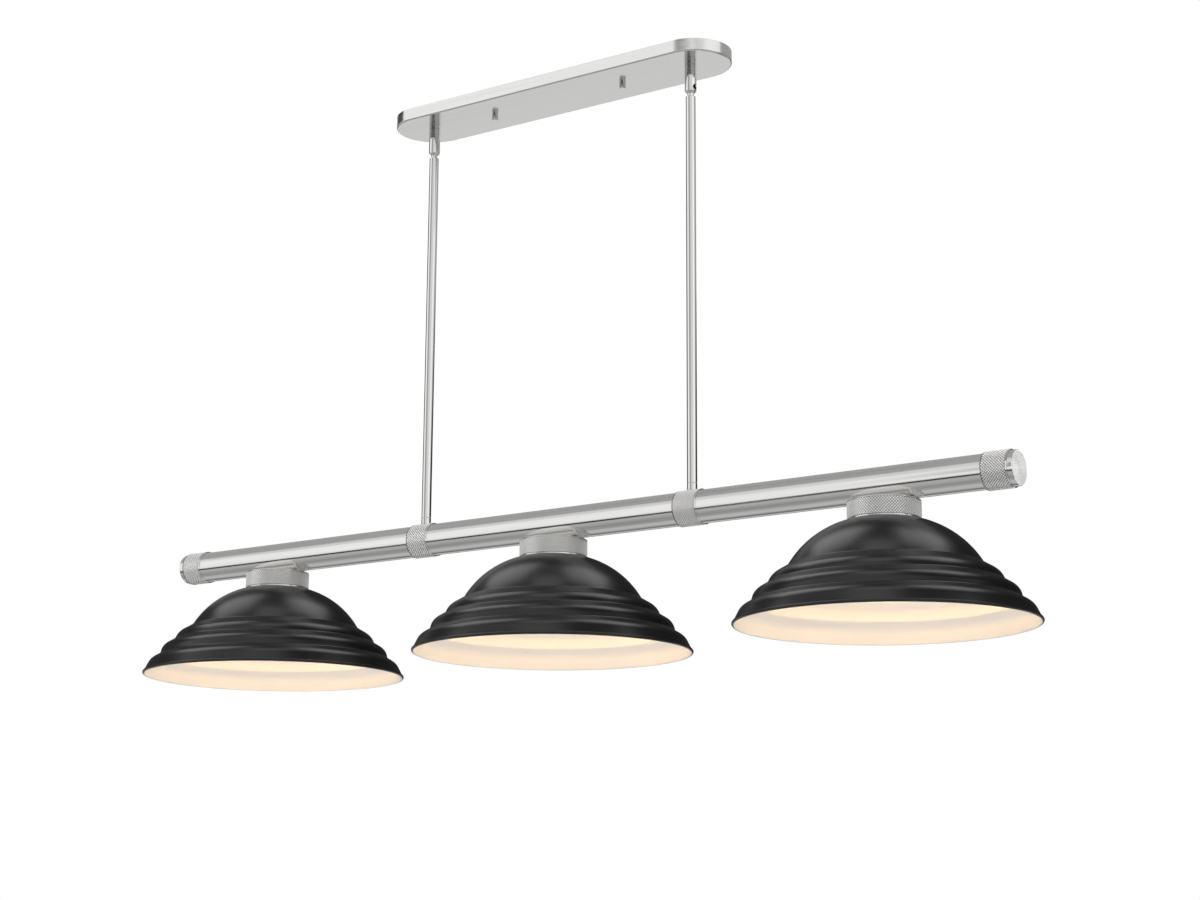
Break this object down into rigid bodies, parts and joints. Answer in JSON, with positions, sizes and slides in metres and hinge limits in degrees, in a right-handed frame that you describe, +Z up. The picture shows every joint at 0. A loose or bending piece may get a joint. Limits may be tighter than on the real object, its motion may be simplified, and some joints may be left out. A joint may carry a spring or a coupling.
{
  "type": "billiard light",
  "caption": "Three-shade billiard light: an oblong canopy, two rods on ball swivels, a round bar and stepped black shades on knurled drums.",
  "frame": {"origin": "middle of the mounting strap and of the canopy's open top, in the ceiling plane", "axes": "+X along the bar, towards the right-hand shade as the picture shows it; +Y away from the picture's viewer; +Z up"},
  "size_m": [1.297, 0.3559, 0.7586],
  "materials": {
    "brushed_nickel": "satin nickel plate, fine brushing along rods and bar",
    "knurled_nickel": "diamond knurl with bright turned edges",
    "black_enamel": "satin black outside, warm white inside",
    "zinc_plate": "bright zinc plate",
    "brass": "bare brass",
    "porcelain": "white glaze",
    "lamp_glass": "frosted warm white",
    "green_screw": "green dyed zinc",
    "orange_plastic": "moulded plastic"
  },
  "bodies": {
    "ceiling_mount": {"canopy": "brushed_nickel", "mounting_strap": "zinc_plate", "canopy_studs": "zinc_plate", "stud_locknuts": "zinc_plate", "ground_screw": "green_screw", "wire_connectors": "orange_plastic", "swivel_locknuts": "zinc_plate", "swivel_collar_left": "brushed_nickel", "swivel_collar_right": "brushed_nickel", "swivel_housing_left": "brushed_nickel", "swivel_housing_right": "brushed_nickel"},
    "hanging_frame": {"swivel_ball_left": "brushed_nickel", "swivel_ball_right": "brushed_nickel", "rod_left": "brushed_nickel", "rod_right": "brushed_nickel", "rod_foot_left": "brushed_nickel", "rod_foot_right": "brushed_nickel", "rod_nipples": "zinc_plate", "rod_ring_left": "knurled_nickel", "rod_ring_right": "knurled_nickel", "bar_tube": "brushed_nickel", "bar_nuts": "zinc_plate", "end_ring_left": "knurled_nickel", "end_ring_right": "knurled_nickel", "end_cap_left": "brushed_nickel", "end_cap_right": "brushed_nickel", "lamp_nipples": "zinc_plate", "drum_left": "knurled_nickel", "drum_middle": "knurled_nickel", "drum_right": "knurled_nickel", "shade_left": "black_enamel", "shade_middle": "black_enamel", "shade_right": "black_enamel", "shade_nut_left": "zinc_plate", "shade_nut_middle": "zinc_plate", "shade_nut_right": "zinc_plate", "lamp_holder_left": "porcelain", "lamp_holder_middle": "porcelain", "lamp_holder_right": "porcelain", "screw_shells": "brass", "lamp_contacts": "brass"},
    "left_bulb": {"bulb_cap_left": "zinc_plate", "bulb_glass_left": "lamp_glass"},
    "middle_bulb": {"bulb_cap_middle": "zinc_plate", "bulb_glass_middle": "lamp_glass"},
    "right_bulb": {"bulb_cap_right": "zinc_plate", "bulb_glass_right": "lamp_glass"},
    "left_canopy_nut": {"canopy_nut_left": "brushed_nickel"},
    "right_canopy_nut": {"canopy_nut_right": "brushed_nickel"}
  },
  "joints": [
    {"name": "fixture_swing", "type": "hinge", "parent": "ceiling_mount", "child": "hanging_frame", "pos_m": [0, 0, -0.05004], "axis": [1, 0, 0], "range_deg": [-25, 25]},
    {"name": "left_bulb_turn", "type": "hinge", "parent": "hanging_frame", "child": "left_bulb", "pos_m": [-0.4705, 0, -0.68], "axis": [0, 0, 1], "continuous": true},
    {"name": "middle_bulb_turn", "type": "hinge", "parent": "hanging_frame", "child": "middle_bulb", "pos_m": [0, 0, -0.68], "axis": [0, 0, 1], "continuous": true},
    {"name": "right_bulb_turn", "type": "hinge", "parent": "hanging_frame", "child": "right_bulb", "pos_m": [0.4705, 0, -0.68], "axis": [0, 0, 1], "continuous": true},
    {"name": "left_nut_turn", "type": "hinge", "parent": "ceiling_mount", "child": "left_canopy_nut", "pos_m": [-0.104, 0, -0.02], "axis": [0, 0, 1], "continuous": true},
    {"name": "right_nut_turn", "type": "hinge", "parent": "ceiling_mount", "child": "right_canopy_nut", "pos_m": [0.104, 0, -0.02], "axis": [0, 0, 1], "continuous": true}
  ]
}
